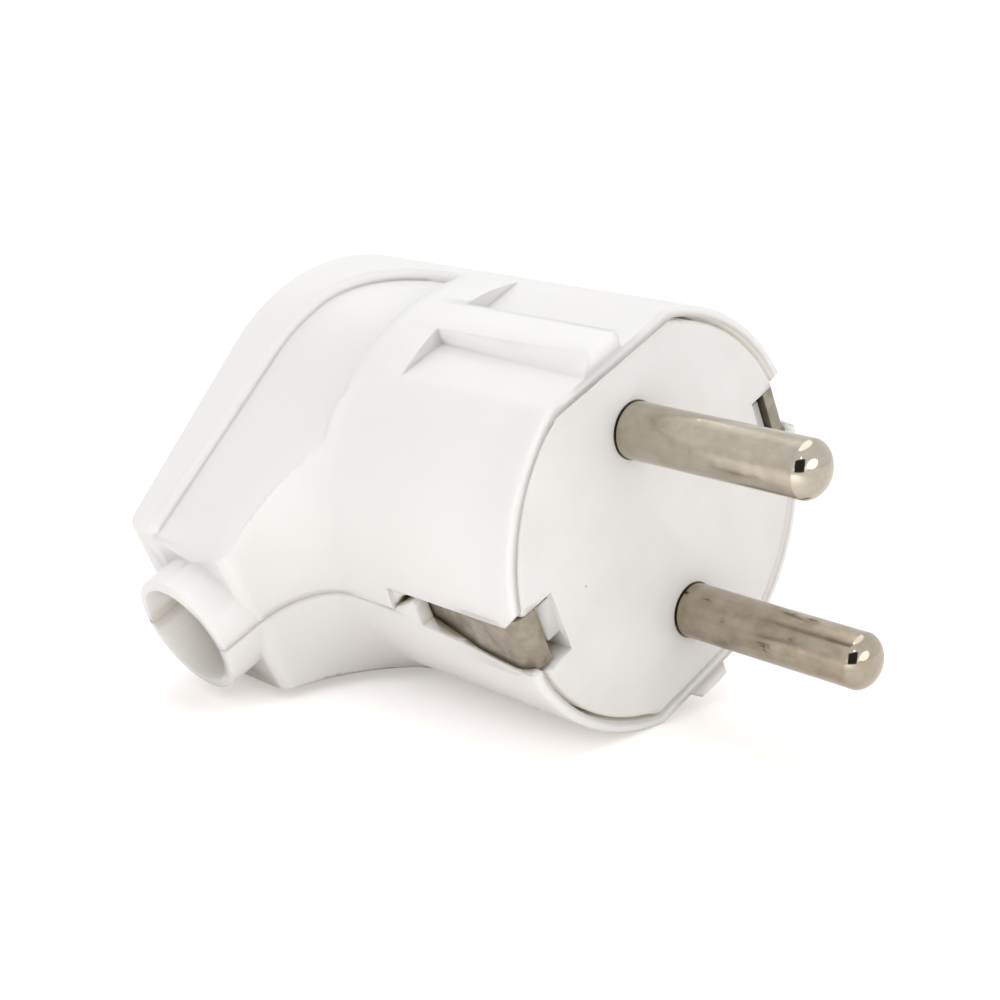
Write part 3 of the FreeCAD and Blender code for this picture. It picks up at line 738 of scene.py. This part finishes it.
# studio: pale floor, white behind, soft light from above
studio = {
    "floorSize": 60.0, "floorColour": (0.93, 0.90, 0.89), "floorPatch": (0.93, 0.8955, 0.8811),
    "floorGrain": 30.0, "floorLift": 0.365, "mirrorLift": 0.2,
    "skyColour": (1.0, 0.997, 0.99), "skyLight": 0.74,
    "lamps": [  # name, place, aim, width, height, watts
        ("top softbox", (-0.06, 0.10, 0.60), (-0.02, 0.0, 0.0), 0.6, 0.7, 1.05),
        ("left fill", (-0.02, -0.64, 0.10), (-0.02, 0.0, -0.01), 0.5, 0.22, 0.03),
        ("front fill", (0.45, -0.45, 0.09), (0.0, 0.0, -0.01), 0.9, 0.2, 0.35),
        ("right fill", (0.66, 0.05, 0.16), (0.0, 0.0, 0.0), 0.5, 0.3, 0.55),
        ("back strip", (-0.45, 0.16, 0.42), (0.0, 0.0, 0.0), 0.30, 0.02, 0.12),
        ("front spot", (0.32, -0.30, 0.42), (0.0, 0.0, 0.0), 0.06, 0.06, 0.06),
    ],
    "bounceSize": 0.03,
    "bounces": [  # name, place, aim on the floor, cone, watts
        ("left bounce", (-0.08, -0.12, 0.40), (-0.06, -0.10, -0.018), 20.0, 1.5),
        ("front bounce", (0.05, -0.12, 0.40), (0.04, -0.085, -0.018), 20.0, 9.0),
    ],
    "flag": {
        "place": (0.218, -0.251, 0.097), "width": 0.32, "height": 0.28,
        "cloth": (0.012, 0.012, 0.013), "nap": (0.03, 0.03, 0.031), "weave": 40.0, "rough": 0.9,
    },
}


# share of rays that show the white: seen straight on, in a reflection or through glass
def seenRays(tree):
    path = tree.nodes.new("ShaderNodeLightPath")
    mirrored = mathNode(tree, "MAXIMUM", path.outputs["Is Glossy Ray"], path.outputs["Is Transmission Ray"])
    return mathNode(tree, "MAXIMUM", path.outputs["Is Camera Ray"], mirrored)


def makeFloor():
    material = bpy.data.materials.new("studio floor")
    material.use_nodes = True
    tree = material.node_tree
    tree.nodes.clear()
    place = tree.nodes.new("ShaderNodeTexCoord").outputs["Object"]
    patches = noise(tree, place, studio["floorGrain"])
    tone = mixColour(tree, patches, studio["floorColour"], studio["floorPatch"])
    matt = addNode(tree, "ShaderNodeBsdfDiffuse", links={"Color": tone})
    path = tree.nodes.new("ShaderNodeLightPath").outputs  # the floor is whiter where it is looked at
    straight = mathNode(tree, "MULTIPLY", path["Is Camera Ray"], studio["floorLift"])
    mirrored = mathNode(tree, "MULTIPLY", path["Is Glossy Ray"], studio["mirrorLift"])
    lift = mathNode(tree, "ADD", straight, mirrored)
    glow = addNode(tree, "ShaderNodeEmission", links={"Strength": lift})
    both = addNode(tree, "ShaderNodeAddShader", links={0: matt.outputs[0], 1: glow.outputs[0]})
    addNode(tree, "ShaderNodeOutputMaterial", links={"Surface": both.outputs[0]})
    half = studio["floorSize"] / 2
    level = cadBox[0].z
    mesh = bpy.data.meshes.new("floor")
    corners = [(-half, -half, level), (half, -half, level), (half, half, level), (-half, half, level)]
    mesh.from_pydata(corners, [], [(0, 1, 2, 3)])
    mesh.materials.append(material)
    floor = bpy.data.objects.new("floor", mesh)
    scene.collection.objects.link(floor)


def makeSky():
    world = bpy.data.worlds.new("studio")
    scene.world = world
    world.use_nodes = True
    tree = world.node_tree
    back = tree.nodes["Background"]
    seen = seenRays(tree)
    rest = mathNode(tree, "SUBTRACT", 1.0, seen)
    light = mathNode(tree, "MULTIPLY", rest, studio["skyLight"])
    tree.links.new(mathNode(tree, "ADD", seen, light), back.inputs["Strength"])
    back.inputs["Color"].default_value = (*studio["skyColour"], 1.0)


# dark card behind the camera, for the black spot that the polished tips show
def makeFlag():
    flag = studio["flag"]
    material = bpy.data.materials.new("flag cloth")
    material.use_nodes = True
    tree = material.node_tree
    place = tree.nodes.new("ShaderNodeTexCoord").outputs["Object"]
    nap = mixColour(tree, noise(tree, place, flag["weave"]), flag["cloth"], flag["nap"])
    shader = tree.nodes["Principled BSDF"]
    tree.links.new(nap, shader.inputs["Base Color"])
    shader.inputs["Roughness"].default_value = flag["rough"]
    turn = (-Vector(flag["place"])).to_track_quat("-Z", "Y").to_matrix()
    half = Vector((flag["width"] / 2, flag["height"] / 2))
    corners = [turn @ Vector((x * half.x, y * half.y, 0.0)) + Vector(flag["place"])
               for x, y in ((-1, -1), (1, -1), (1, 1), (-1, 1))]
    mesh = bpy.data.meshes.new("flag")
    mesh.from_pydata(corners, [], [(0, 1, 2, 3)])
    mesh.materials.append(material)
    card = bpy.data.objects.new("flag", mesh)
    card.visible_camera = False
    card.visible_diffuse = False
    card.visible_shadow = False
    scene.collection.objects.link(card)


def makeLamps():
    for name, place, aim, width, height, power in studio["lamps"]:
        data = bpy.data.lights.new(name, "AREA")
        data.shape = "ELLIPSE"
        data.size = width
        data.size_y = height
        data.energy = power
        aimLamp(data, place, aim)
    for name, place, aim, cone, power in studio["bounces"]:
        data = bpy.data.lights.new(name, "SPOT")
        data.spot_size = math.radians(cone)
        data.spot_blend = 1.0
        data.shadow_soft_size = studio["bounceSize"]
        data.energy = power
        aimLamp(data, place, aim)


def aimLamp(data, place, aim):
    lamp = bpy.data.objects.new(data.name, data)
    lamp.location = place
    lamp.rotation_euler = (Vector(aim) - Vector(place)).to_track_quat("-Z", "Y").to_euler()
    scene.collection.objects.link(lamp)


makeFloor()
makeFlag()
makeSky()
makeLamps()
print("studio:", len(studio["lamps"]) + len(studio["bounces"]), "lamps")
